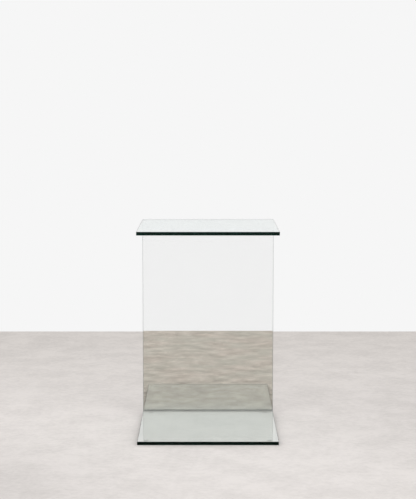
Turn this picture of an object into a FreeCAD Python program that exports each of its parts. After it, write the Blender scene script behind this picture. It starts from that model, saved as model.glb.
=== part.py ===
import FreeCAD, Part
import os
import Sketcher

# A C-shaped side table made of three thick panes of float glass.
#
# The base pane lies on four clear bumpers. The upright stands on it along the back edge, and
# carries the top pane, which reaches forward over the base. The upright is a mirror: its back
# is silvered, and the silver is covered by a protective film of paint. Clear adhesive holds
# the upright to the base and to the top. Nothing on the table moves.
#
# Millimetres, +Z up, +X to the right, the open side of the C towards -Y. The origin is on the
# floor, under the middle of the table.

# The driving sizes. Every other size and place is worked out from these.
SIZES = [
    ("table_width", 400.0, "across the table, along X"),
    ("table_depth", 400.0, "front to back of the top and base, along Y"),
    ("table_height", 605.0, "floor to the top's upper face"),
    ("top_thickness", 10.0, "thickness of the top pane"),
    ("base_thickness", 10.0, "thickness of the base pane"),
    ("upright_thickness", 10.0, "thickness of the upright's glass"),
    ("corner_radius", 2.0, "rounded corners of each pane"),
    ("arris", 0.6, "width of the ground bevel along every edge"),
    ("back_setback", 1.0, "from the panes' back edge to the back of the mirror"),
    ("bond_thickness", 0.2, "thickness of the adhesive lines"),
    ("silver_thickness", 0.1, "thickness that stands for the silver coat"),
    ("backing_thickness", 0.2, "thickness of the paint and film over the silver"),
    ("coat_margin", 0.4, "bare glass between the back's arris and the silver"),
    ("foot_diameter", 12.0, "diameter of a bumper"),
    ("foot_height", 1.5, "height of a bumper"),
    ("foot_rounding", 0.8, "rounding of a bumper's lower rim"),
    ("foot_inset", 25.0, "from the base's edges to a bumper's centre"),
]

# Places that more than one piece uses, as formulas on the driving sizes.
PLACES = [
    ("base_top", "=foot_height + base_thickness"),
    ("upright_foot", "=base_top + bond_thickness"),
    ("top_underside", "=table_height - top_thickness"),
    ("upright_head", "=top_underside - bond_thickness"),
    ("upright_height", "=upright_head - upright_foot"),
    ("film_back", "=table_depth / 2 - back_setback"),
    ("silver_back", "=film_back - backing_thickness"),
    ("glass_back", "=silver_back - silver_thickness"),
    ("glass_front", "=glass_back - upright_thickness"),
    ("coat_inset", "=arris + coat_margin"),
    ("bond_width", "=table_width - 2 * corner_radius"),
    ("bond_depth", "=upright_thickness - 2 * arris"),
]

UP = FreeCAD.Vector(0, 0, 1)
BACK = FreeCAD.Vector(0, 1, 0)

# A sketch is drawn at this size. Its constraints then give it its true size.
DRAWN_SIZE = 10.0

# Directions and heights nearer than this count as the same.
TOLERANCE = 1e-6

document = FreeCAD.newDocument("side_table")
sheet = document.addObject("Spreadsheet::Sheet", "sizes")


def fill_sheet():
    """One row for each size and place: its name, its value and what it is."""
    rows = [(name, str(value), note) for name, value, note in SIZES]
    rows += [(name, formula, "worked out") for name, formula in PLACES]
    for row, (name, value, note) in enumerate(rows, start=1):
        sheet.set(f"A{row}", name)
        sheet.set(f"B{row}", value)
        sheet.set(f"C{row}", note)
        sheet.setAlias(f"B{row}", name)
    document.recompute()


def bind(thing, formulas):
    """Ties an object's properties to formulas on the sheet's names."""
    for target, formula in formulas.items():
        thing.setExpression(target, formula)


def origin_plane(body, role):
    """The body's own origin plane with this role, such as XY_Plane."""
    return next(f for f in body.Origin.OriginFeatures if f.Role == role)


def edges_where(feature, wanted):
    """The names of a feature's edges for which wanted is true."""
    edges = enumerate(feature.Shape.Edges, start=1)
    return [f"Edge{number}" for number, edge in edges if wanted(edge)]


def runs_along(edge, direction):
    """True for a straight edge parallel to the direction."""
    if not isinstance(edge.Curve, Part.Line):
        return False
    return abs(edge.Curve.Direction.dot(direction)) > 1 - TOLERANCE


def is_lower_rim(edge):
    """True for the circle at the foot of an upright cylinder that stands on Z = 0."""
    return isinstance(edge.Curve, Part.Circle) and abs(edge.CenterOfMass.z) < TOLERANCE


def centred_rectangle(sketch, width, height):
    """A rectangle about the sketch's origin, with its sides tied to two formulas."""
    half = DRAWN_SIZE / 2
    corners = [(-half, -half), (half, -half), (half, half), (-half, half)]
    points = [FreeCAD.Vector(x, y, 0) for x, y in corners]
    for start, end in zip(points, points[1:] + points[:1]):
        sketch.addGeometry(Part.LineSegment(start, end), False)
    for side in range(4):
        sketch.addConstraint(Sketcher.Constraint("Coincident", side, 2, (side + 1) % 4, 1))
    for side, direction in enumerate(["Horizontal", "Vertical", "Horizontal", "Vertical"]):
        sketch.addConstraint(Sketcher.Constraint(direction, side))
    # The origin is geometry -1, point 1. Opposite corners mirror about it.
    sketch.addConstraint(Sketcher.Constraint("Symmetric", 0, 1, 1, 2, -1, 1))
    across = sketch.addConstraint(Sketcher.Constraint("DistanceX", 0, 1, 0, 2, DRAWN_SIZE))
    along = sketch.addConstraint(Sketcher.Constraint("DistanceY", 1, 1, 1, 2, DRAWN_SIZE))
    bind(sketch, {f"Constraints[{across}]": width, f"Constraints[{along}]": height})


def pane(name, plane, thickness_axis, width, height, thickness, place):
    """A pane of glass: padded from its outline, with rounded corners and ground arrises."""
    body = document.addObject("PartDesign::Body", name)
    sketch = body.newObject("Sketcher::SketchObject", f"{name}_outline")
    sketch.AttachmentSupport = [(origin_plane(body, plane), "")]
    sketch.MapMode = "FlatFace"
    centred_rectangle(sketch, width, height)
    pad = body.newObject("PartDesign::Pad", f"{name}_pad")
    pad.Profile = sketch
    bind(pad, {"Length": thickness})
    document.recompute()
    corners = body.newObject("PartDesign::Fillet", f"{name}_corners")
    corners.Base = (pad, edges_where(pad, lambda edge: runs_along(edge, thickness_axis)))
    bind(corners, {"Radius": "sizes.corner_radius"})
    document.recompute()
    arrises = body.newObject("PartDesign::Chamfer", f"{name}_arrises")
    rim = edges_where(corners, lambda edge: not runs_along(edge, thickness_axis))
    arrises.Base = (corners, rim)
    bind(arrises, {"Size": "sizes.arris"})
    bind(body, place)
    return body


def slab(name, sizes, place):
    """A thin flat layer, such as a coat or a line of adhesive."""
    box = document.addObject("Part::Box", name)
    bind(box, dict(zip(["Length", "Width", "Height"], sizes)))
    bind(box, dict(zip([f"Placement.Base.{axis}" for axis in "xyz"], place)))
    return box


def foot(name, side, end):
    """A clear bumper under one corner of the base. side and end are -1 or +1."""
    body = document.addObject("PartDesign::Body", name)
    sketch = body.newObject("Sketcher::SketchObject", f"{name}_outline")
    sketch.AttachmentSupport = [(origin_plane(body, "XY_Plane"), "")]
    sketch.MapMode = "FlatFace"
    sketch.addGeometry(Part.Circle(FreeCAD.Vector(0, 0, 0), UP, DRAWN_SIZE / 2), False)
    sketch.addConstraint(Sketcher.Constraint("Coincident", 0, 3, -1, 1))
    size = sketch.addConstraint(Sketcher.Constraint("Diameter", 0, DRAWN_SIZE))
    bind(sketch, {f"Constraints[{size}]": "sizes.foot_diameter"})
    pad = body.newObject("PartDesign::Pad", f"{name}_pad")
    pad.Profile = sketch
    bind(pad, {"Length": "sizes.foot_height"})
    document.recompute()
    rounding = body.newObject("PartDesign::Fillet", f"{name}_rounding")
    rounding.Base = (pad, edges_where(pad, is_lower_rim))
    bind(rounding, {"Radius": "sizes.foot_rounding"})
    bind(body, {
        "Placement.Base.x": f"{side} * (sizes.table_width / 2 - sizes.foot_inset)",
        "Placement.Base.y": f"{end} * (sizes.table_depth / 2 - sizes.foot_inset)",
    })
    return body


def flat_pane(name, thickness, underside):
    """A pane that lies level, over the whole width and depth of the table."""
    place = {"Placement.Base.z": underside}
    return pane(
        name, "XY_Plane", UP, "sizes.table_width", "sizes.table_depth", thickness, place
    )


def upright():
    """The upright's glass. Its sketch stands on XZ, and its pad grows towards the front."""
    place = {
        "Placement.Base.y": "sizes.glass_back",
        "Placement.Base.z": "(sizes.upright_foot + sizes.upright_head) / 2",
    }
    return pane(
        "upright_pane", "XZ_Plane", BACK,
        "sizes.table_width", "sizes.upright_height", "sizes.upright_thickness", place,
    )


def coat(name, thickness, front):
    """A layer over the upright's back, inside its arrises. front is the layer's lower Y."""
    sizes = [
        "sizes.table_width - 2 * sizes.coat_inset",
        thickness,
        "sizes.upright_height - 2 * sizes.coat_inset",
    ]
    place = [
        "-sizes.table_width / 2 + sizes.coat_inset",
        front,
        "sizes.upright_foot + sizes.coat_inset",
    ]
    return slab(name, sizes, place)


def bond(name, underside):
    """A line of cured adhesive between one end of the upright and a flat pane."""
    sizes = ["sizes.bond_width", "sizes.bond_depth", "sizes.bond_thickness"]
    place = ["-sizes.bond_width / 2", "sizes.glass_front + sizes.arris", underside]
    return slab(name, sizes, place)


def make_parts():
    """Every piece of the table. Each one's label is its node's name."""
    parts = [
        flat_pane("base_pane", "sizes.base_thickness", "sizes.foot_height"),
        flat_pane("top_pane", "sizes.top_thickness", "sizes.top_underside"),
        upright(),
        coat("silver_coat", "sizes.silver_thickness", "sizes.glass_back"),
        coat("backing_paint", "sizes.backing_thickness", "sizes.silver_back"),
        bond("base_bond", "sizes.base_top"),
        bond("top_bond", "sizes.upright_head"),
    ]
    for side, side_name in [(-1, "left"), (1, "right")]:
        for end, end_name in [(-1, "front"), (1, "back")]:
            parts.append(foot(f"foot_{end_name}_{side_name}", side, end))
    document.recompute()
    return parts


def check(parts):
    """Stops the build if any object failed or any piece has no valid single solid."""
    for thing in document.Objects:
        if {"Invalid", "Error"} & set(thing.State):
            raise RuntimeError(f"{thing.Label} failed: {thing.State}")
    for part in parts:
        shape = part.Shape
        if shape.isNull() or not shape.isValid() or len(shape.Solids) != 1:
            raise RuntimeError(f"{part.Label} is not one valid solid")


def export(parts):
    """Writes each piece to parts/, in a file with the piece's own name."""
    os.makedirs("parts", exist_ok=True)
    for part in parts:
        part.Shape.exportStep(f"parts/{part.Label}.step")
        box = part.Shape.BoundBox
        spans = [(box.XMin, box.XMax), (box.YMin, box.YMax), (box.ZMin, box.ZMax)]
        extent = "  ".join(f"{low:8.2f} {high:8.2f}" for low, high in spans)
        print(f"{part.Label:18s} {extent}  {part.Shape.Volume / 1000:9.3f} cm3")


fill_sheet()
table = make_parts()
check(table)
export(table)
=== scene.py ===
# %% [markdown]
# # A glass and mirror side table
#
# The table is three thick panes of float glass: a top, a base, and an upright between their
# back edges. The upright is a mirror, silvered on its back. There is no frame and no screw,
# only two thin lines of clear adhesive, so everything that the eye reads comes from how glass
# handles light at its faces and at its edges. This lesson builds the panes as real closed
# solids, and lets the path tracer do the rest.
#
# The CAD model is loaded first. Every size below is measured from it.

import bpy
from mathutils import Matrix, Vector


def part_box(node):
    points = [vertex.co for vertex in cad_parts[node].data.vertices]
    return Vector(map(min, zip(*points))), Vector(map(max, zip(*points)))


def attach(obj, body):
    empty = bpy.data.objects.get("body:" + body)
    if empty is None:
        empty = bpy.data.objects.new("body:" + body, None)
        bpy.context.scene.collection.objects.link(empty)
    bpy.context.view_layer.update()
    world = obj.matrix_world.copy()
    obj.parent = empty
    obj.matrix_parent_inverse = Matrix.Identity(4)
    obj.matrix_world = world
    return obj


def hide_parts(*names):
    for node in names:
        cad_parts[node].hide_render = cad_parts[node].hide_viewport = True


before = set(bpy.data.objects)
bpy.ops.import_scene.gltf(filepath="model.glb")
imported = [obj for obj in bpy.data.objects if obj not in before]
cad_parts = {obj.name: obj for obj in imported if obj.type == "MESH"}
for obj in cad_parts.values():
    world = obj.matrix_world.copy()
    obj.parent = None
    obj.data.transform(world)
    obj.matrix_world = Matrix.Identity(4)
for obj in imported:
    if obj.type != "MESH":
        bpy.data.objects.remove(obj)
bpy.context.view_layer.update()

# %% [markdown]
# ## Tools
#
# Only Blender's own modules are needed. Lengths that belong to the glass trade are written in
# millimetres and multiplied by MM, because Blender works in metres.

# %% Tools used throughout
import math

import bmesh
import bpy
from mathutils import Vector

MM = 0.001
scene = bpy.context.scene
for name in sorted(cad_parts):
    low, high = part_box(name)
    print(f"{name:18s} {[round(edge / MM, 2) for edge in high - low]} mm")

# %% [markdown]
# ## The camera
#
# The table is seen from the front and a little above, from four metres away with a long lens,
# so that the panes' sides hardly converge. A shorter lens nearer by would give the same size in
# the view and a far more dramatic shape. The camera is tilted only a little, and the lens is
# shifted down for the rest, which keeps upright lines upright.

# %% Camera
LENS_MM = 101.95
SENSOR_MM = 36.0
CAMERA_PLACE = (0.0, -4.1055, 0.9947)
CAMERA_TILT = 0.09
CAMERA_SHIFT = -0.0619

camera_data = bpy.data.cameras.new("camera")
camera_data.lens = LENS_MM
camera_data.sensor_width = SENSOR_MM
camera_data.shift_y = CAMERA_SHIFT
camera = bpy.data.objects.new("camera", camera_data)
camera.location = CAMERA_PLACE
camera.rotation_euler = (math.pi / 2 - CAMERA_TILT, 0.0, 0.0)
scene.collection.objects.link(camera)
scene.camera = camera
print("camera at", CAMERA_PLACE, "m, looking", round(math.degrees(CAMERA_TILT), 1), "degrees down")

# %% [markdown]
# ## Small helpers for node trees
#
# A material is a graph of nodes. It can be drawn by hand in the shader editor, and it can be
# written. These helpers make a node, set its values and join it in one line each, so that each
# material below reads as a recipe.

# %% Node helpers
def add_node(tree, kind, **values):
    """A node of this kind. Each value sets an input socket by name, or a node property."""
    node = tree.nodes.new(kind)
    for key, value in values.items():
        socket = node.inputs.get(key.replace("_", " "))
        if socket is None:
            setattr(node, key, value)
        else:
            socket.default_value = value
    return node


def join(tree, source, target):
    """Links an output socket to an input socket."""
    tree.links.new(source, target)


def new_group(name, inputs, outputs):
    """An empty shader group. Returns it with its input and output nodes."""
    group = bpy.data.node_groups.new(name, "ShaderNodeTree")
    for label, kind, value in inputs:
        socket = group.interface.new_socket(label, in_out="INPUT", socket_type=kind)
        socket.default_value = value
    for label, kind in outputs:
        group.interface.new_socket(label, in_out="OUTPUT", socket_type=kind)
    return group, group.nodes.new("NodeGroupInput"), group.nodes.new("NodeGroupOutput")


def use_group(tree, group, **values):
    """A group placed in a material, with its own values."""
    node = tree.nodes.new("ShaderNodeGroup")
    node.node_tree = group
    for key, value in values.items():
        node.inputs[key.replace("_", " ")].default_value = value
    return node


def new_material(name):
    """A material with only an output and a Principled shader. Returns all three and the tree."""
    material = bpy.data.materials.new(name)
    material.use_nodes = True
    tree = material.node_tree
    tree.nodes.clear()
    output = tree.nodes.new("ShaderNodeOutputMaterial")
    shader = tree.nodes.new("ShaderNodeBsdfPrincipled")
    join(tree, shader.outputs["BSDF"], output.inputs["Surface"])
    return material, tree, shader, output


NODE_HELPERS = (add_node, join, new_group, use_group, new_material)
print("node helpers:", [helper.__name__ for helper in NODE_HELPERS])

# %% [markdown]
# ## Helpers for patterns
#
# Dirt, grain and clouds all start from a noise at a place, and all end with its middle range
# stretched out, so those steps are helpers too. Object coordinates are used throughout: they
# need no unwrapping, and they are in metres, so a scale of 9 means about nine marks per metre.

# %% Pattern helpers
# A Mix node has sockets for every kind of data. These are the numbers of the ones for colours.
MIX_FACTOR, MIX_FIRST_COLOUR, MIX_SECOND_COLOUR, MIX_COLOUR_RESULT = 0, 6, 7, 2


def object_place(tree):
    """Where each point lies, in metres from the table's origin on the floor."""
    return add_node(tree, "ShaderNodeTexCoord").outputs["Object"]


def noise(tree, place, **values):
    """A noise texture, read at a place."""
    node = add_node(tree, "ShaderNodeTexNoise", **values)
    join(tree, place, node.inputs["Vector"])
    return node


def stretch_range(tree, value, low, high, ease="LINEAR"):
    """Turns low to high into 0 to 1, or into the node's own To Min and To Max."""
    node = add_node(tree, "ShaderNodeMapRange", interpolation_type=ease, From_Min=low, From_Max=high)
    join(tree, value, node.inputs["Value"])
    return node


def mix_colours(tree, mask, first, second):
    """A colour between two, by a mask. Each is three numbers, or another node's output."""
    node = add_node(tree, "ShaderNodeMix", data_type="RGBA")
    for colour, number in ((first, MIX_FIRST_COLOUR), (second, MIX_SECOND_COLOUR)):
        if isinstance(colour, tuple):
            node.inputs[number].default_value = (*colour, 1.0)
        else:
            join(tree, colour, node.inputs[number])
    join(tree, mask, node.inputs[MIX_FACTOR])
    return node.outputs[MIX_COLOUR_RESULT]


PATTERN_HELPERS = (object_place, noise, stretch_range, mix_colours)
print("pattern helpers:", [helper.__name__ for helper in PATTERN_HELPERS])

# %% [markdown]
# ## Wiped glass
#
# Nothing handled is perfectly clean. After the last wipe with a cloth, a faint film is left in
# broad arcs. It doesn't show in the colour, and it shows a little in the gloss. It could be
# painted as a mask, but then every pane would need unwrapping. A noise needs none: stretched
# along the stroke and bent by a second noise, it lifts the roughness between two values. The
# panes, the silver behind them and the painted back all have it, so it is a group.

# %% Group: wiped film
STROKE_BENDS_PER_METRE = 3.0
STROKE_BEND = 0.25
STROKE_STRETCH = (1.0, 1.0, 0.35)
STROKE_TURN = (0.0, 0.5, 0.7)
FILM_STARTS, FILM_FULL = 0.48, 0.75


def make_wiped_film():
    """Roughness that wanders between two values in soft strokes."""
    group, inside, outside = new_group(
        "wiped film",
        [
            ("Clean Roughness", "NodeSocketFloat", 0.0),
            ("Film Roughness", "NodeSocketFloat", 0.03),
            ("Strokes per Metre", "NodeSocketFloat", 9.0),
        ],
        [("Roughness", "NodeSocketFloat")],
    )
    place = object_place(group)
    bend = noise(group, place, Scale=STROKE_BENDS_PER_METRE, Detail=2.0)
    bent = add_node(group, "ShaderNodeVectorMath", operation="MULTIPLY_ADD")
    bent.inputs[1].default_value = (STROKE_BEND, STROKE_BEND, STROKE_BEND)
    join(group, bend.outputs["Color"], bent.inputs[0])
    join(group, place, bent.inputs[2])
    drawn = add_node(group, "ShaderNodeMapping", Scale=STROKE_STRETCH, Rotation=STROKE_TURN)
    join(group, bent.outputs["Vector"], drawn.inputs["Vector"])
    strokes = noise(group, drawn.outputs["Vector"], Detail=4.0, Roughness=0.6)
    join(group, inside.outputs["Strokes per Metre"], strokes.inputs["Scale"])
    film = stretch_range(group, strokes.outputs["Fac"], FILM_STARTS, FILM_FULL, "SMOOTHSTEP")
    join(group, inside.outputs["Clean Roughness"], film.inputs["To Min"])
    join(group, inside.outputs["Film Roughness"], film.inputs["To Max"])
    join(group, film.outputs["Result"], outside.inputs["Roughness"])
    return group


wiped_film = make_wiped_film()
print("group:", wiped_film.name, "with", len(wiped_film.nodes), "nodes")

# %% [markdown]
# ## Grinding marks
#
# A pane's edge is ground flat on a wheel and polished, and each sharp corner is broken with a
# narrow bevel, the arris. The polished flat keeps fine lines along the edge. The arris is left
# as ground, a fine even grain. Such marks are far too shallow to model, so one group makes
# both: a noise, squeezed along the edge into lines where that is wanted, gives a height for a
# Bump node and a roughness.

# %% Group: grinding marks
GRAIN_LOW, GRAIN_HIGH = 0.3, 0.7


def make_grinding_marks():
    """Marks of the wheel. A squeeze below 1 along an axis makes the marks longer along it."""
    group, inside, outside = new_group(
        "grinding marks",
        [
            ("Marks per Metre", "NodeSocketFloat", 900.0),
            ("Squeeze", "NodeSocketVector", (1.0, 1.0, 1.0)),
            ("Low Roughness", "NodeSocketFloat", 0.02),
            ("High Roughness", "NodeSocketFloat", 0.1),
        ],
        [("Height", "NodeSocketFloat"), ("Roughness", "NodeSocketFloat")],
    )
    squeezed = add_node(group, "ShaderNodeVectorMath", operation="MULTIPLY")
    join(group, object_place(group), squeezed.inputs[0])
    join(group, inside.outputs["Squeeze"], squeezed.inputs[1])
    grain = noise(group, squeezed.outputs["Vector"], Detail=3.0, Roughness=0.65)
    join(group, inside.outputs["Marks per Metre"], grain.inputs["Scale"])
    gloss = stretch_range(group, grain.outputs["Fac"], GRAIN_LOW, GRAIN_HIGH)
    join(group, inside.outputs["Low Roughness"], gloss.inputs["To Min"])
    join(group, inside.outputs["High Roughness"], gloss.inputs["To Max"])
    join(group, grain.outputs["Fac"], outside.inputs["Height"])
    join(group, gloss.outputs["Result"], outside.inputs["Roughness"])
    return group


grinding_marks = make_grinding_marks()
print("group:", grinding_marks.name, "with", len(grinding_marks.nodes), "nodes")

# %% [markdown]
# ## Float glass
#
# Ordinary float glass has a trace of iron, which takes a little light from what passes, and
# red most of all. Over ten millimetres that can hardly be seen. Over the forty centimetres
# that light travels inside a pane to come out of its front edge, it turns to a dark teal, and
# that dark line is what draws the table. A tinted Base Color would give every ray the same
# tint, so it is a Volume Absorption inside the solid instead, and the length of each path does
# the colouring.
#
# The mirror is made from a glass with less iron, so that what it shows keeps its colour.

# %% Glass, and its two tints
GLASS_IOR = 1.52
# What a tint takes, per metre, is (1 - colour) * density, for red, green and blue.
FLOAT_TINT = {"density": 70.0, "colour": (0.90, 0.936, 0.929)}
MIRROR_TINT = {"density": 50.0, "colour": (0.90, 0.928, 0.92)}


def glass_body(name, tint):
    """Clear glass that absorbs light on its way. The finish is added by the caller."""
    material, tree, shader, output = new_material(name)
    shader.inputs["Transmission Weight"].default_value = 1.0
    shader.inputs["IOR"].default_value = GLASS_IOR
    shader.inputs["Base Color"].default_value = (1.0, 1.0, 1.0, 1.0)
    shader.inputs["Roughness"].default_value = 0.0
    inside = add_node(tree, "ShaderNodeVolumeAbsorption")
    inside.inputs["Color"].default_value = (*tint["colour"], 1.0)
    inside.inputs["Density"].default_value = tint["density"]
    join(tree, inside.outputs["Volume"], output.inputs["Volume"])
    return material, tree, shader


for tint in (FLOAT_TINT, MIRROR_TINT):
    print("absorbs per metre:", [round((1 - part) * tint["density"], 1) for part in tint["colour"]])

# %% [markdown]
# ## Wheel finishes
#
# The edges of a pane are ground and polished along their length, and each arris is left as it
# was ground. Both are wanted nearly black, which is darker than the tint alone makes them. A
# stronger absorption would do it, but it would darken the faces as well, so the edges' own
# colour and reflection are turned down instead: this is painted shade, darker than the glass
# and the light make them. An edge that is to be bonded is left ground, and is given as dark
# and opaque, because that draws the joint as a dark line.

# %% What the wheel leaves
POLISHED = {"marks_per_metre": 1500, "smoothest": 0.0, "roughest": 0.02, "relief": 0.04}
GROUND = {"marks_per_metre": 2600, "smoothest": 0.2, "roughest": 0.45, "relief": 0.5}
BONDED = {"marks_per_metre": 1200, "smoothest": 0.35, "roughest": 0.6, "relief": 0.4}
DEEPEST_MARK = 0.01 * MM
LINES_ALONG_THE_FLAT_EDGES = (0.04, 0.04, 1.0)
LINES_UP_THE_TALL_EDGES = (1.0, 1.0, 0.04)
EVEN_GRAIN = (1.0, 1.0, 1.0)


def add_marks(tree, shader, squeeze, marks_per_metre, smoothest, roughest, relief):
    """Grinding marks, in the gloss and in the relief."""
    marks = use_group(
        tree,
        grinding_marks,
        Marks_per_Metre=marks_per_metre,
        Squeeze=squeeze,
        Low_Roughness=smoothest,
        High_Roughness=roughest,
    )
    bump = add_node(tree, "ShaderNodeBump", Strength=relief, Distance=DEEPEST_MARK)
    join(tree, marks.outputs["Height"], bump.inputs["Height"])
    join(tree, bump.outputs["Normal"], shader.inputs["Normal"])
    join(tree, marks.outputs["Roughness"], shader.inputs["Roughness"])


print("a polished edge has", POLISHED["marks_per_metre"] * MM, "marks per mm across its lines")

# %% [markdown]
# ## The four finishes of a pane
#
# One pane shows several finishes: the faces as the glass was drawn, with only the last wipe's
# film on them, then the polished edges, the arrises, and the ends that are bonded. One
# material could tell them apart by the normal, but a material for each is plainer, and the
# pane's mesh hands them out as it is built.

# %% Materials: face, polished edge, ground arris and bonded edge
FACE_FILM = 0.012
# Painted shade: the edges and arrises get darker colours and weaker reflections than the glass and
# the light would give them.
EDGE_SHADE_COLOUR = (0.03, 0.06, 0.05, 1.0)
EDGE_DIMMED_REFLECTION = (0.10, 0.18, 0.15, 1.0)
ARRIS_SHADE_COLOUR = (0.04, 0.07, 0.06, 1.0)
ARRIS_DIMMED_REFLECTION = (0.35, 0.42, 0.40, 1.0)
MIRROR_ARRIS_SHADE_COLOUR = (0.16, 0.19, 0.17, 1.0)
BONDED_COLOUR = (0.06, 0.06, 0.05, 1.0)


def glass_face(name, tint):
    """The drawn face of the glass, with the last wipe's film on it."""
    material, tree, shader = glass_body(name, tint)
    film = use_group(tree, wiped_film, Film_Roughness=FACE_FILM)
    join(tree, film.outputs["Roughness"], shader.inputs["Roughness"])
    return material


def polished_edge(name, tint, squeeze):
    """The flat of an edge, polished, with fine lines along it, and painted shade in its colour and
    reflection.
    """
    material, tree, shader = glass_body(name, tint)
    shader.inputs["Base Color"].default_value = EDGE_SHADE_COLOUR
    shader.inputs["Specular Tint"].default_value = EDGE_DIMMED_REFLECTION
    add_marks(tree, shader, squeeze, **POLISHED)
    return material


def ground_arris(name, tint, colour):
    """The narrow bevel round a face, with an even fine grain, and painted shade in its colour and
    reflection.
    """
    material, tree, shader = glass_body(name, tint)
    shader.inputs["Base Color"].default_value = colour
    shader.inputs["Specular Tint"].default_value = ARRIS_DIMMED_REFLECTION
    add_marks(tree, shader, EVEN_GRAIN, **GROUND)
    return material


def bonded_edge(name):
    """A ground edge under the adhesive, dark and opaque, so that the joint shows as a line."""
    material, tree, shader, _ = new_material(name)
    shader.inputs["Base Color"].default_value = BONDED_COLOUR
    add_marks(tree, shader, EVEN_GRAIN, **BONDED)
    return material


print("roughness: film", FACE_FILM, "edge", POLISHED["roughest"], "arris", GROUND["roughest"])

# %% The finishes of each glass
# Their order is that of the pane builder's face, edge, arris and bonded slots.
FLAT_PANE = (
    glass_face("float_face", FLOAT_TINT),
    polished_edge("float_edge", FLOAT_TINT, LINES_ALONG_THE_FLAT_EDGES),
    ground_arris("float_arris", FLOAT_TINT, ARRIS_SHADE_COLOUR),
)
MIRROR_PANE = (
    glass_face("mirror_face", MIRROR_TINT),
    polished_edge("mirror_edge", MIRROR_TINT, LINES_UP_THE_TALL_EDGES),
    ground_arris("mirror_arris", MIRROR_TINT, MIRROR_ARRIS_SHADE_COLOUR),
    bonded_edge("bonded_edge"),
)
print("finishes:", [material.name for material in FLAT_PANE + MIRROR_PANE])

# %% [markdown]
# ## The silver and its paint
#
# The mirror's silver is chemically laid on the back of the upright and is seen through ten
# millimetres of glass, so all it needs is a metal with almost no roughness. Paint covers it
# against damp, put on as a poured curtain, which dries with a faint skin like orange peel.
# From behind the table, this paint is the whole view. A plain grey would look like a card, so
# it gets the peel, the film of the last wipe and a little unevenness in its grey.

# %% Material: silver
SILVER_COLOUR = (0.965, 0.965, 0.955, 1.0)
SILVER_FILM = 0.008


def make_silver():
    """Silver seen through glass."""
    material, tree, shader, _ = new_material("mirror_silver")
    shader.inputs["Metallic"].default_value = 1.0
    shader.inputs["Base Color"].default_value = SILVER_COLOUR
    film = use_group(tree, wiped_film, Film_Roughness=SILVER_FILM)
    join(tree, film.outputs["Roughness"], shader.inputs["Roughness"])
    return material


SILVER = make_silver()
print("mirror:", SILVER.name)

# %% Material: backing paint
PAINT_DARK = (0.150, 0.156, 0.158)
PAINT_PALE = (0.178, 0.184, 0.186)
PAINT_CLEAN, PAINT_FILM = 0.33, 0.46
PAINT_CLOUDS_PER_METRE = 7.0
PEEL_PER_METRE = 420.0
PEEL_DEPTH = 0.08 * MM


def make_backing_paint():
    """Satin grey mirror-backing paint with a fine peel."""
    material, tree, shader, _ = new_material("satin_backing_paint")
    place = object_place(tree)
    cloud = noise(tree, place, Scale=PAINT_CLOUDS_PER_METRE, Detail=3.0)
    grey = mix_colours(tree, cloud.outputs["Fac"], PAINT_DARK, PAINT_PALE)
    join(tree, grey, shader.inputs["Base Color"])
    peel = noise(tree, place, Scale=PEEL_PER_METRE, Detail=2.0)
    bump = add_node(tree, "ShaderNodeBump", Strength=0.35, Distance=PEEL_DEPTH)
    join(tree, peel.outputs["Fac"], bump.inputs["Height"])
    join(tree, bump.outputs["Normal"], shader.inputs["Normal"])
    film = use_group(tree, wiped_film, Clean_Roughness=PAINT_CLEAN, Film_Roughness=PAINT_FILM)
    join(tree, film.outputs["Roughness"], shader.inputs["Roughness"])
    return material


PAINT = make_backing_paint()
print("back of the mirror:", PAINT.name)

# %% [markdown]
# ## Adhesive and bumpers
#
# The adhesive cures as clear as the glass. Its ends are trimmed by hand, so they are a little
# dull. The bumpers are soft clear polyurethane, a shade warmer than glass. Both are too thin
# for an absorption inside them to show, so a plain transmissive shader is enough, and the
# grinding marks group is used once more, for its roughness only.

# %% Materials: adhesive and bumper
def clear_plastic(name, colour, ior, marks_per_metre, smoothest, roughest):
    """A clear soft plastic. Its skin is a little dull, in patches."""
    material, tree, shader, _ = new_material(name)
    shader.inputs["Transmission Weight"].default_value = 1.0
    shader.inputs["IOR"].default_value = ior
    shader.inputs["Base Color"].default_value = colour
    marks = use_group(
        tree,
        grinding_marks,
        Marks_per_Metre=marks_per_metre,
        Low_Roughness=smoothest,
        High_Roughness=roughest,
    )
    join(tree, marks.outputs["Roughness"], shader.inputs["Roughness"])
    return material


ADHESIVE = clear_plastic(
    "cured_adhesive",
    colour=(0.93, 0.95, 0.94, 1.0),
    ior=1.48,
    marks_per_metre=700,
    smoothest=0.02,
    roughest=0.12,
)
BUMPER = clear_plastic(
    "clear_polyurethane",
    colour=(0.98, 0.975, 0.965, 1.0),
    ior=1.46,
    marks_per_metre=350,
    smoothest=0.02,
    roughest=0.08,
)
print("plastics:", ADHESIVE.name, BUMPER.name)

# %% [markdown]
# ## A pane
#
# A pane is a slab with rounded corners and a 45 degree arris round both faces. It could be a
# cube with a Bevel modifier, but then the corner's radius and the arris would fight over the
# same bevel. It is quicker and cleaner to say what the section is: four closed loops, each a
# rounded rectangle, stacked through the thickness. The loops at the two faces are smaller by
# the arris, and bridging neighbours gives arris, edge and arris. Each strip takes its own
# material as it is made. The mirror's thin layers are built in the same way.

# %% Pane outline
CORNER_RADIUS = 2.0 * MM
CORNER_STEPS = 10


def rounded_outline(half_width, half_height, radius):
    """Points of a rounded rectangle about the origin, counter-clockwise."""
    points = []
    for quarter in range(4):
        turn = quarter * math.pi / 2
        across = 1 if quarter in (0, 3) else -1
        along = 1 if quarter in (0, 1) else -1
        centre = Vector((across * (half_width - radius), along * (half_height - radius)))
        for step in range(CORNER_STEPS + 1):
            angle = turn + step / CORNER_STEPS * math.pi / 2
            points.append(centre + radius * Vector((math.cos(angle), math.sin(angle))))
    return points


print("a pane's outline has", 4 * (CORNER_STEPS + 1), "points")

# %% Pane builder
ARRIS_WIDTH = 0.6 * MM
FACE_SLOT, EDGE_SLOT, ARRIS_SLOT, BONDED_SLOT = 0, 1, 2, 3
SHARPEST_SMOOTH_ANGLE = math.radians(30)


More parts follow.
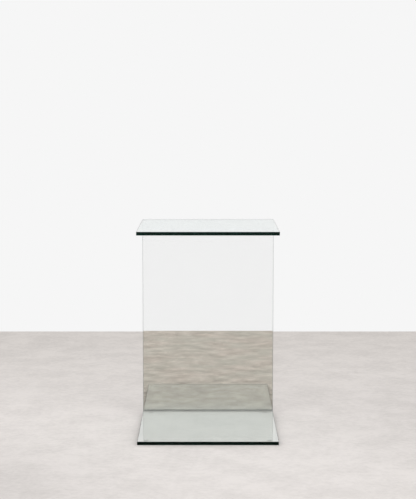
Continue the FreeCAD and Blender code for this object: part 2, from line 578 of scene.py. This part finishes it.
def slab_mesh(name, width, height, thickness, radius, arris):
    """A slab in its own XY plane, its thickness along Z, about its centre."""
    bm = bmesh.new()
    levels = [
        (-thickness / 2, arris),
        (-thickness / 2 + arris, 0.0),
        (thickness / 2 - arris, 0.0),
        (thickness / 2, arris),
    ]
    rings = []
    for level, inset in levels:
        outline = rounded_outline(width / 2 - inset, height / 2 - inset, radius - inset)
        rings.append([bm.verts.new((x, y, level)) for x, y in outline])
    for below, above, slot in zip(rings, rings[1:], (ARRIS_SLOT, EDGE_SLOT, ARRIS_SLOT)):
        count = len(below)
        for i in range(count):
            j = (i + 1) % count
            strip = bm.faces.new((below[i], below[j], above[j], above[i]))
            strip.material_index = slot
    bm.faces.new(reversed(rings[0])).material_index = FACE_SLOT
    bm.faces.new(rings[-1]).material_index = FACE_SLOT
    mesh = bpy.data.meshes.new(name)
    bm.to_mesh(mesh)
    bm.free()
    return mesh


def round_the_corners(piece):
    """Smooth shading round the corners, and crisp lines where face, arris and edge meet."""
    mesh = piece.data
    for polygon in mesh.polygons:
        polygon.use_smooth = True
    mesh.set_sharp_from_angle(angle=SHARPEST_SMOOTH_ANGLE)


print("arris", ARRIS_WIDTH / MM, "mm wide, on both faces")

# %% [markdown]
# ## Setting pieces in place
#
# An object could be moved to its place, but then its Object coordinates would start from its
# own middle. So the mesh is moved into the table's own frame, and the object stays at the
# origin. That keeps the Object coordinates, which every pattern uses, in metres of the real
# table.
#
# Two surfaces in the same place would flicker, so the thin pieces keep a hair's clearance from
# what they touch.

# %% Placing helpers
CLEARANCE = 0.02 * MM


def set_piece(name, mesh, centre, stands, slot, *nodes):
    """Puts a mesh where the CAD nodes are, and hands it to the frame."""
    if stands:
        for vertex in mesh.vertices:
            x, y, z = vertex.co
            vertex.co = (x, -z, y)
    for vertex in mesh.vertices:
        vertex.co += centre
    piece = bpy.data.objects.new(name, mesh)
    scene.collection.objects.link(piece)
    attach(piece, "root")
    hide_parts(*nodes)
    return piece


def centre_of(node):
    """The middle of a CAD node's box."""
    low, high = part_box(node)
    return (low + high) / 2


def size_of(node):
    """The three sizes of a CAD node's box."""
    low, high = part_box(node)
    return high - low


print("the upright's middle:", [round(place / MM, 1) for place in centre_of("upright_pane")], "mm")

# %% [markdown]
# ## The three panes
#
# The top and base lie flat. The upright is the same builder's slab, stood on its edge. Its
# lower and upper edges meet the base and the top, so they change from the polished finish to
# the bonded one. They are found by their normals, before the slab is stood up.

# %% Panes
# The normal of an end points this straight along the slab's height, or straighter.
END_NORMAL = 0.999


def flat_pane(name, node):
    """A pane that lies flat."""
    size = size_of(node)
    mesh = slab_mesh(name, size.x, size.y, size.z, CORNER_RADIUS, ARRIS_WIDTH)
    for material in FLAT_PANE:
        mesh.materials.append(material)
    piece = set_piece(name, mesh, centre_of(node), False, "clear_glass", node)
    round_the_corners(piece)
    return piece


def upright_pane(name, node):
    """A pane that stands. Its lower and upper edges are ground and bonded."""
    size = size_of(node)
    mesh = slab_mesh(name, size.x, size.z, size.y, CORNER_RADIUS, ARRIS_WIDTH)
    for material in MIRROR_PANE:
        mesh.materials.append(material)
    for face in mesh.polygons:
        if face.material_index == EDGE_SLOT and abs(face.normal.y) > END_NORMAL:
            face.material_index = BONDED_SLOT
    piece = set_piece(name, mesh, centre_of(node), True, "clear_glass", node)
    round_the_corners(piece)
    return piece


top_glass = flat_pane("top_glass", "top_pane")
base_glass = flat_pane("base_glass", "base_pane")
upright_glass = upright_pane("upright_glass", "upright_pane")
for piece in (top_glass, base_glass, upright_glass):
    print(piece.name, len(piece.data.polygons), "faces")

# %% [markdown]
# ## Silver and paint
#
# Both are layers on the upright's back. A single plane would do for a view from the front, but
# the paint's edge is seen from the side and from behind, and a closed mesh has one. Each layer
# starts just clear of what it covers.

# %% Mirror layers
LAYER_RADIUS = 1.0 * MM
EASED_SHARE = 0.25


def layer(name, node, material, slot):
    """A thin plate with eased edges, just clear of the layer in front of it."""
    size = size_of(node)
    thickness = size.y - CLEARANCE
    mesh = slab_mesh(name, size.x, size.z, thickness, LAYER_RADIUS, EASED_SHARE * thickness)
    for face in mesh.polygons:
        face.material_index = FACE_SLOT
    mesh.materials.append(material)
    centre = centre_of(node) + Vector((0, CLEARANCE / 2, 0))
    piece = set_piece(name, mesh, centre, True, slot, node)
    round_the_corners(piece)
    return piece


silver_sheet = layer("silver_sheet", "silver_coat", SILVER, "silver")
paint_sheet = layer("paint_sheet", "backing_paint", PAINT, "backing")
for piece in (silver_sheet, paint_sheet):
    print(piece.name, "is", CLEARANCE / MM, "mm clear of what it covers")

# %% [markdown]
# ## Adhesive lines
#
# Each joint is a bead of adhesive pressed into a film. It isn't quite straight at its edges,
# because it is squeezed out and trimmed with a blade. A box would look cut by machine. A strip
# with many stations along its length can follow a slow wave at each side.

# %% Bonds
BOND_STATIONS = 80
BOND_WAVE = 0.25 * MM
# A wave runs through this many radians over the joint's length, and starts at this one.
FRONT_WAVE = (37.0, 0.0)
BACK_WAVE = (29.0, 2.0)


def wavy_reach(straight, share, wave):
    """How far the adhesive reaches at a share of its length. It never goes past straight."""
    radians, start = wave
    return straight - BOND_WAVE * (0.5 + 0.5 * math.sin(radians * share + start))


def bond_line(name, node):
    """A film of adhesive with slightly wandering edges, inside its CAD solid."""
    size, centre = size_of(node), centre_of(node)
    half_height = size.z / 2 - CLEARANCE
    bm = bmesh.new()
    sections = []
    for station in range(BOND_STATIONS + 1):
        share = station / BOND_STATIONS
        x = (share - 0.5) * size.x
        front = -wavy_reach(size.y / 2, share, FRONT_WAVE)
        back = wavy_reach(size.y / 2, share, BACK_WAVE)
        low, high = -half_height, half_height
        corners = [(front, low), (back, low), (back, high), (front, high)]
        sections.append([bm.verts.new((x, y, z)) for y, z in corners])
    for here, there in zip(sections, sections[1:]):
        for i in range(4):
            j = (i + 1) % 4
            bm.faces.new((here[i], there[i], there[j], here[j]))
    bm.faces.new(sections[0])
    bm.faces.new(reversed(sections[-1]))
    bmesh.ops.recalc_face_normals(bm, faces=bm.faces)
    mesh = bpy.data.meshes.new(name)
    bm.to_mesh(mesh)
    bm.free()
    mesh.materials.append(ADHESIVE)
    return set_piece(name, mesh, centre, False, "adhesive", node)


base_bond_line = bond_line("base_bond_line", "base_bond")
top_bond_line = bond_line("top_bond_line", "top_bond")
for piece in (base_bond_line, top_bond_line):
    print(piece.name, round(piece.dimensions.x / MM), "mm long,", len(piece.data.polygons), "faces")

# %% [markdown]
# ## Bumpers
#
# A bumper is moulded, so it is a turned shape: flat where it is stuck to the glass, a short
# wall, and a rounded rim down to a flat that stands on the floor. A cylinder with a bevel comes
# close, but its rim is hard to set exactly. Blender's Spin turns a half section in one call,
# but its faces come out in another order each time. So the half section is turned ring by ring
# here, and every run gives the same mesh.

# %% Turned shape
TURN_STEPS = 48


def turned_mesh(name, top, section, bottom):
    """A closed shape turned about Z. Its side follows the section down, from top to bottom."""
    bm = bmesh.new()
    rings = []
    for reach, level in section:
        ring = []
        for step in range(TURN_STEPS):
            angle = step / TURN_STEPS * 2 * math.pi
            ring.append(bm.verts.new((reach * math.cos(angle), reach * math.sin(angle), level)))
        rings.append(ring)
    top_middle = bm.verts.new((0.0, 0.0, top))
    bottom_middle = bm.verts.new((0.0, 0.0, bottom))
    for i in range(TURN_STEPS):
        j = (i + 1) % TURN_STEPS
        bm.faces.new((top_middle, rings[0][i], rings[0][j]))
        for above, below in zip(rings, rings[1:]):
            bm.faces.new((above[i], below[i], below[j], above[j]))
        bm.faces.new((bottom_middle, rings[-1][j], rings[-1][i]))
    mesh = bpy.data.meshes.new(name)
    bm.to_mesh(mesh)
    bm.free()
    return mesh


print("a turned shape has a side every", 360 / TURN_STEPS, "degrees")

# %% Bumpers
RIM_RADIUS = 0.8 * MM
RIM_STEPS = 6


def bumper(name, node):
    """A clear bumper: a short wall, and a rounded rim at the floor."""
    size, centre = size_of(node), centre_of(node)
    radius, half = size.x / 2, size.z / 2 - CLEARANCE / 2
    section = [(radius, half)]
    for step in range(RIM_STEPS + 1):
        angle = step / RIM_STEPS * math.pi / 2
        out = radius - RIM_RADIUS + RIM_RADIUS * math.cos(angle)
        section.append((out, -half + RIM_RADIUS - RIM_RADIUS * math.sin(angle)))
    mesh = turned_mesh(name, half, section, -half)
    mesh.materials.append(BUMPER)
    centre = centre - Vector((0, 0, CLEARANCE / 2))
    piece = set_piece(name, mesh, centre, False, "clear_bumper", node)
    round_the_corners(piece)
    return piece


bumpers = [
    bumper(f"bumper_{end}_{side}", f"foot_{end}_{side}")
    for end in ("front", "back")
    for side in ("left", "right")
]
print(len(bumpers), "bumpers of", len(bumpers[0].data.polygons), "faces")

# %% [markdown]
# ## The floor
#
# The table stands on a pale, trowelled floor. It isn't part of the object, so it is only
# staged, as one flat face. A plain grey would give the clear panes nothing to show, so the
# floor has soft cloudy marks, a painted pool of light round the table and painted shade at
# two corners. A trowelled floor could be modelled with displacement, but a matt one at this
# distance is only its colours.

# %% Floor patterns
# Scale is in marks per metre. The noise's low value gives a mark's dark, its high value light.
CLOUDS = {"scale": 7.0, "detail": 11.0, "grain": 0.68, "low": 0.40, "high": 0.75}
MOTTLE = {"scale": 60.0, "detail": 6.0, "grain": 0.7, "low": 0.30, "high": 0.70}
MOTTLE_SHARE = 0.8


def floor_marks(tree, scale, detail, grain, low, high, across=1.0):
    """Soft marks between 0 and 1 over the floor. Across below 1 draws them out sideways."""
    drawn = add_node(tree, "ShaderNodeVectorMath", operation="MULTIPLY")
    drawn.inputs[1].default_value = (across, 1.0, 1.0)
    join(tree, object_place(tree), drawn.inputs[0])
    marks = noise(tree, drawn.outputs["Vector"], Scale=scale, Detail=detail, Roughness=grain)
    return stretch_range(tree, marks.outputs["Fac"], low, high).outputs["Result"]


def mottled_clouds(tree):
    """Broad clouds with a fine mottle on them."""
    both = add_node(tree, "ShaderNodeMath", operation="MULTIPLY_ADD")
    both.inputs[1].default_value = MOTTLE_SHARE
    join(tree, floor_marks(tree, **MOTTLE), both.inputs[0])
    join(tree, floor_marks(tree, **CLOUDS), both.inputs[2])
    return both.outputs["Value"]


def pool(tree, x, y, full, gone):
    """1 within the full distance of a place on the floor, falling to 0 at the gone one."""
    offset = add_node(tree, "ShaderNodeVectorMath", operation="SUBTRACT")
    offset.inputs[1].default_value = (x, y, 0.0)
    join(tree, object_place(tree), offset.inputs[0])
    distance = add_node(tree, "ShaderNodeVectorMath", operation="LENGTH")
    join(tree, offset.outputs["Vector"], distance.inputs[0])
    fall = stretch_range(tree, distance.outputs["Value"], full, gone, "SMOOTHSTEP")
    fall.inputs["To Min"].default_value = 1.0
    fall.inputs["To Max"].default_value = 0.0
    return fall.outputs["Result"]


print("floor: a cloud is about", round(1 / CLOUDS["scale"] / MM), "mm across, a fleck",
      round(1 / MOTTLE["scale"] / MM), "mm")

# %% The floor, seen directly
# Each tone is the floor's darkest and its lightest colour there.
FAR_TONE = ((0.60, 0.567, 0.543), (0.725, 0.685, 0.655))
# The next tone is painted light: the paler floor inside the painted pool of light round the table.
LIT_TONE = ((0.775, 0.737, 0.713), (0.905, 0.86, 0.835))
# The next tone is painted shade, for the two darker corners of the floor.
SHADED_CORNER_TONE = ((0.63, 0.598, 0.575), (0.75, 0.71, 0.69))
# Each pool is a place on the floor, and the distances from it at which it is full and gone.
# The first pool is the painted pool of light. The two after it are painted shade at the corners.
LIGHT_POOL = {"x": -0.05, "y": -0.5, "full": 0.2, "gone": 2.6}
SHADED_CORNER_POOLS = (
    {"x": -0.90, "y": -0.78, "full": 0.1, "gone": 0.92},
    {"x": 1.20, "y": 0.15, "full": 0.2, "gone": 1.1},
)


def direct_floor(tree):
    """The floor's colour where it is seen directly: a painted pool of light near the table, and
    painted shade at two corners.
    """
    marks = mottled_clouds(tree)
    far = mix_colours(tree, marks, *FAR_TONE)
    near = mix_colours(tree, marks, *LIT_TONE)
    shaded = mix_colours(tree, marks, *SHADED_CORNER_TONE)
    # Painted light round the table, then painted shade at two corners.
    colour = mix_colours(tree, pool(tree, **LIGHT_POOL), far, near)
    for corner in SHADED_CORNER_POOLS:
        colour = mix_colours(tree, pool(tree, **corner), colour, shaded)
    return colour


print("seen directly:", len(SHADED_CORNER_POOLS), "worn corners")

# %% [markdown]
# ## The floor in the mirror
#
# The mirror shows the floor in front of the table. Left pale there, the mirrored floor would
# run into the real one beside it, and the upright would hardly read as a mirror. So the floor
# has a second set of tones for rays that have been reflected: a darker and warmer copy with a
# stronger grain, which is painted shade, and darker still close to the table, which is a
# painted shadow round the table. A second floor outside the view can't do it, because the
# mirror also shows the floor that the base stands on. Light Path tells the two apart: its
# Glossy Depth is how many reflections a ray has been through.

# %% The floor, seen in the mirror
PATCHES = {"scale": 16.0, "detail": 12.0, "grain": 0.76, "low": 0.37, "high": 0.63, "across": 0.9}
WARMTH = {"scale": 6.0, "detail": 6.0, "grain": 0.6, "low": 0.38, "high": 0.62}
# The warm and cool tones are a darker copy of the floor's colour: painted shade.
WARM_TONE = ((0.50, 0.435, 0.385), (0.755, 0.665, 0.60))
COOL_TONE = ((0.475, 0.435, 0.385), (0.72, 0.67, 0.60))
# This tone is darker still at its low end: a painted shadow round the table, as the mirror shows it.
SHADOWED_STRONG_TONE = ((0.35, 0.305, 0.265), (0.80, 0.725, 0.65))
TABLE_SHADOW_POOL = {"x": 0.0, "y": 0.0, "full": 0.22, "gone": 0.40}


def mirrored_floor(tree):
    """The floor's colour where it is seen by reflection: a darker copy in painted shade, warm and
    cool, with a painted shadow by the table.
    """
    patches = floor_marks(tree, **PATCHES)
    warm = mix_colours(tree, patches, *WARM_TONE)
    cool = mix_colours(tree, patches, *COOL_TONE)
    shadowed_strong = mix_colours(tree, patches, *SHADOWED_STRONG_TONE)
    colour = mix_colours(tree, floor_marks(tree, **WARMTH), warm, cool)
    return mix_colours(tree, pool(tree, **TABLE_SHADOW_POOL), colour, shadowed_strong)


print("in the mirror: patches of about", round(1 / PATCHES["scale"] / MM), "mm")

# %% Floor
FLOOR_BACK = 1.70
FLOOR_FRONT = -1.325
FLOOR_SIDE = 3.0


def floor_material():
    """Matt trowelled floor, with one look seen directly and another by reflection."""
    material, tree, shader, _ = new_material("trowelled_floor")
    shader.inputs["Roughness"].default_value = 0.9
    shader.inputs["Specular IOR Level"].default_value = 0.0
    path = add_node(tree, "ShaderNodeLightPath")
    reflected = add_node(tree, "ShaderNodeMath", operation="MINIMUM")
    reflected.inputs[1].default_value = 1.0
    join(tree, path.outputs["Glossy Depth"], reflected.inputs[0])
    mask = reflected.outputs["Value"]
    colour = mix_colours(tree, mask, direct_floor(tree), mirrored_floor(tree))
    join(tree, colour, shader.inputs["Base Color"])
    return material


def make_floor():
    """One flat face, which ends where the wall begins."""
    corners = [
        (-FLOOR_SIDE, FLOOR_FRONT, 0.0),
        (FLOOR_SIDE, FLOOR_FRONT, 0.0),
        (FLOOR_SIDE, FLOOR_BACK, 0.0),
        (-FLOOR_SIDE, FLOOR_BACK, 0.0),
    ]
    mesh = bpy.data.meshes.new("floor")
    mesh.from_pydata(corners, [], [(0, 1, 2, 3)])
    mesh.materials.append(floor_material())
    floor = bpy.data.objects.new("floor", mesh)
    scene.collection.objects.link(floor)
    return floor


floor = make_floor()
print("floor from", FLOOR_FRONT, "to", FLOOR_BACK, "m")

# %% [markdown]
# ## The light
#
# Glass is drawn by what surrounds it. In a bright, even room its faces go clear and its edges
# go dark, which is called bright field lighting. Softbox lamps would show in the panes as
# rectangles, so the room is simply the world, white on all sides.
#
# A pane seen at a low angle is a mirror too. The base reflects the upright, and in it the room
# in front, a little above the horizon. An even white there would leave the base too pale, so
# the light in front has a warm, darker band at that height, with a paler one above it. Behind,
# it changes only slightly.

# %% Light of the room
WALL_WHITE = 0.922
WHITE = (WALL_WHITE, WALL_WHITE, WALL_WHITE)
# The light in front and behind, from the lowest up: where each starts, where it is full, and
# its colour. Heights are degrees above the horizon.
FRONT_LIGHT = (
    (-90.0, -89.0, (0.99, 0.965, 0.98)),
    (6.0, 11.0, (0.64, 0.59, 0.54)),
    (12.4, 13.2, (0.80, 0.80, 0.78)),
    (18.0, 32.0, WHITE),
)
BACK_LIGHT = (
    (9.0, 12.0, (0.93, 0.93, 0.92)),
    (20.0, 40.0, WHITE),
)
# The light of the sides ends at the first, and the light in front or behind is full at the
# second. Both are the cosine of the angle from straight ahead or straight back.
TURN_STARTS, TURN_FULL = 0.75, 0.92


def blend_light(tree, value, start, full, before, after):
    """Changes one light into another while the value goes from start to full."""
    share = stretch_range(tree, value, start, full, "SMOOTHSTEP")
    return mix_colours(tree, share.outputs["Result"], before, after)


def light_by_height(tree, height, steps):
    """White, changed by each step in turn."""
    light = WHITE
    for start, full, colour in steps:
        low, high = math.sin(math.radians(start)), math.sin(math.radians(full))
        light = blend_light(tree, height, low, high, light, colour)
    return light


print("light:", len(FRONT_LIGHT), "steps in front,", len(BACK_LIGHT), "behind")

# %% World
def make_world():
    """White all round, with its own light by height in front and behind."""
    world = bpy.data.worlds.new("white_room")
    world.use_nodes = True
    tree = world.node_tree
    tree.nodes.clear()
    place = add_node(tree, "ShaderNodeTexCoord")
    direction = add_node(tree, "ShaderNodeSeparateXYZ")
    join(tree, place.outputs["Generated"], direction.inputs["Vector"])
    front = light_by_height(tree, direction.outputs["Z"], FRONT_LIGHT)
    back = light_by_height(tree, direction.outputs["Z"], BACK_LIGHT)
    light = blend_light(tree, direction.outputs["Y"], -TURN_STARTS, -TURN_FULL, WHITE, front)
    light = blend_light(tree, direction.outputs["Y"], TURN_STARTS, TURN_FULL, light, back)
    background = add_node(tree, "ShaderNodeBackground")
    output = tree.nodes.new("ShaderNodeOutputWorld")
    join(tree, light, background.inputs["Color"])
    join(tree, background.outputs["Background"], output.inputs["Surface"])
    scene.world = world


make_world()
print("world:", scene.world.name, "with", len(scene.world.node_tree.nodes), "nodes")

# %% [markdown]
# ## Light paths and tone
#
# A ray that enters a pane by its edge is reflected inside it many times before it leaves, so
# it needs more bounces than the usual few.
#
# Filter Glossy is turned off. It blurs what is sharp for every ray that has already met
# something matt, to save noise. For a ray that comes back from the floor, it would turn clear
# panes into frosted ones that keep their light in, and the base would look smoked.
#
# The Standard view shows colours as they are.

# %% Paths and view transform
scene.cycles.max_bounces = 32
scene.cycles.transmission_bounces = 32
scene.cycles.glossy_bounces = 24
scene.cycles.blur_glossy = 0.0
scene.view_settings.view_transform = "Standard"
print("bounces:", scene.cycles.max_bounces, "view:", scene.view_settings.view_transform)
